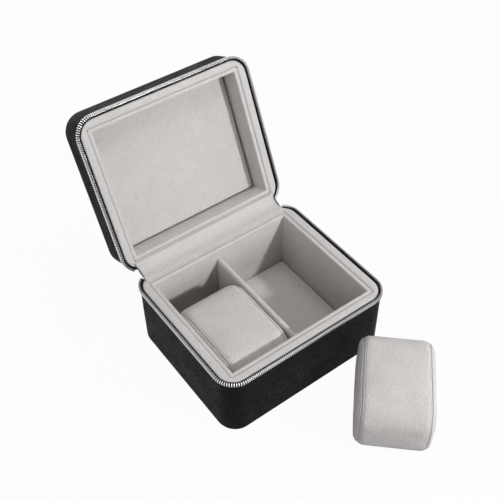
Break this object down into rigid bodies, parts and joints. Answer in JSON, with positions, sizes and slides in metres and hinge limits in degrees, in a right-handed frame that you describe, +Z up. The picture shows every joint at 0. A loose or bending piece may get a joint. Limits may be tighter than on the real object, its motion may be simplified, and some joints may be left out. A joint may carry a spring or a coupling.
{
  "type": "watch travel case",
  "caption": "Zip-round travel case with a soft-hinged lid, velvet-lined trays, a divider and two padded pillows, one lifted out.",
  "frame": {"origin": "centre of the case's underside, where the base stands on a table", "axes": "+X along the hinge to the right as seen from the front, +Y from the front to the hinge, +Z up"},
  "size_m": [0.165, 0.3266, 0.1869],
  "materials": {
    "leather": "near-black, fine-grained, low gloss",
    "velvet": "light grey short-pile velvet",
    "zip_tape": "black woven tape",
    "teeth": "bright nickel-plated",
    "board": "plain grey board, hidden",
    "foam": "open foam sheet, hidden"
  },
  "bodies": {
    "base": {"base_board": "board", "base_leather": "leather", "base_bottom_leather": "leather", "base_foam": "foam", "base_rim_velvet": "velvet", "base_tray": "velvet", "base_floor_pad": "velvet", "divider_board": "board", "divider_velvet": "velvet", "base_zip_tape": "zip_tape", "base_zip_teeth": "teeth", "hinge_leather": "leather", "hinge_backing": "zip_tape", "hinge_lining": "velvet"},
    "lid": {"lid_board": "board", "lid_leather": "leather", "lid_top_leather": "leather", "lid_top_padding": "foam", "lid_foam": "foam", "lid_rim_velvet": "velvet", "lid_tray": "velvet", "lid_panel": "velvet", "lid_zip_tape": "zip_tape", "lid_zip_teeth": "teeth"},
    "zip_ends": {"zip_tail_tape": "zip_tape", "zip_tail_teeth": "teeth", "zip_end_stops": "teeth"},
    "slider": {"zip_slider": "teeth"},
    "pull": {"zip_pull": "teeth"},
    "left_pillow": {"left_pillow_wrap": "velvet", "left_pillow_cap_left": "velvet", "left_pillow_cap_right": "velvet", "left_pillow_core": "foam"},
    "right_pillow": {"right_pillow_wrap": "velvet", "right_pillow_cap_left": "velvet", "right_pillow_cap_right": "velvet", "right_pillow_core": "foam"}
  },
  "joints": [
    {"name": "lid_hinge", "type": "hinge", "parent": "base", "child": "lid", "pos_m": [0, 0.0696, 0.0612], "axis": [1, 0, 0], "range_deg": [0, 114], "deforming": ["hinge_lining", "hinge_backing", "hinge_leather"]},
    {"name": "zip_end_swing", "type": "hinge", "parent": "base", "child": "zip_ends", "pos_m": [0, 0.0696, 0.0612], "axis": [1, 0, 0], "range_deg": [0, 57]},
    {"name": "slider_travel", "type": "slide", "parent": "zip_ends", "child": "slider", "axis": [1, 0, 0], "range_m": [0, 0.0025]},
    {"name": "pull_swing", "type": "hinge", "parent": "slider", "child": "pull", "pos_m": [0.06055, 0.07317, 0.05571], "axis": [0, 0.8387, 0.5446], "range_deg": [-75, 75]},
    {"name": "left_pillow_lift", "type": "slide", "parent": "base", "child": "left_pillow", "axis": [0, 0, 1], "range_m": [0, 0.028]},
    {"name": "right_pillow_lift", "type": "slide", "parent": "base", "child": "right_pillow", "axis": [0, 0, 1], "range_m": [0, 0.06]}
  ],
  "couplings": [
    {"joint": "zip_end_swing", "follows": "lid_hinge", "ratio": 0.5}
  ]
}
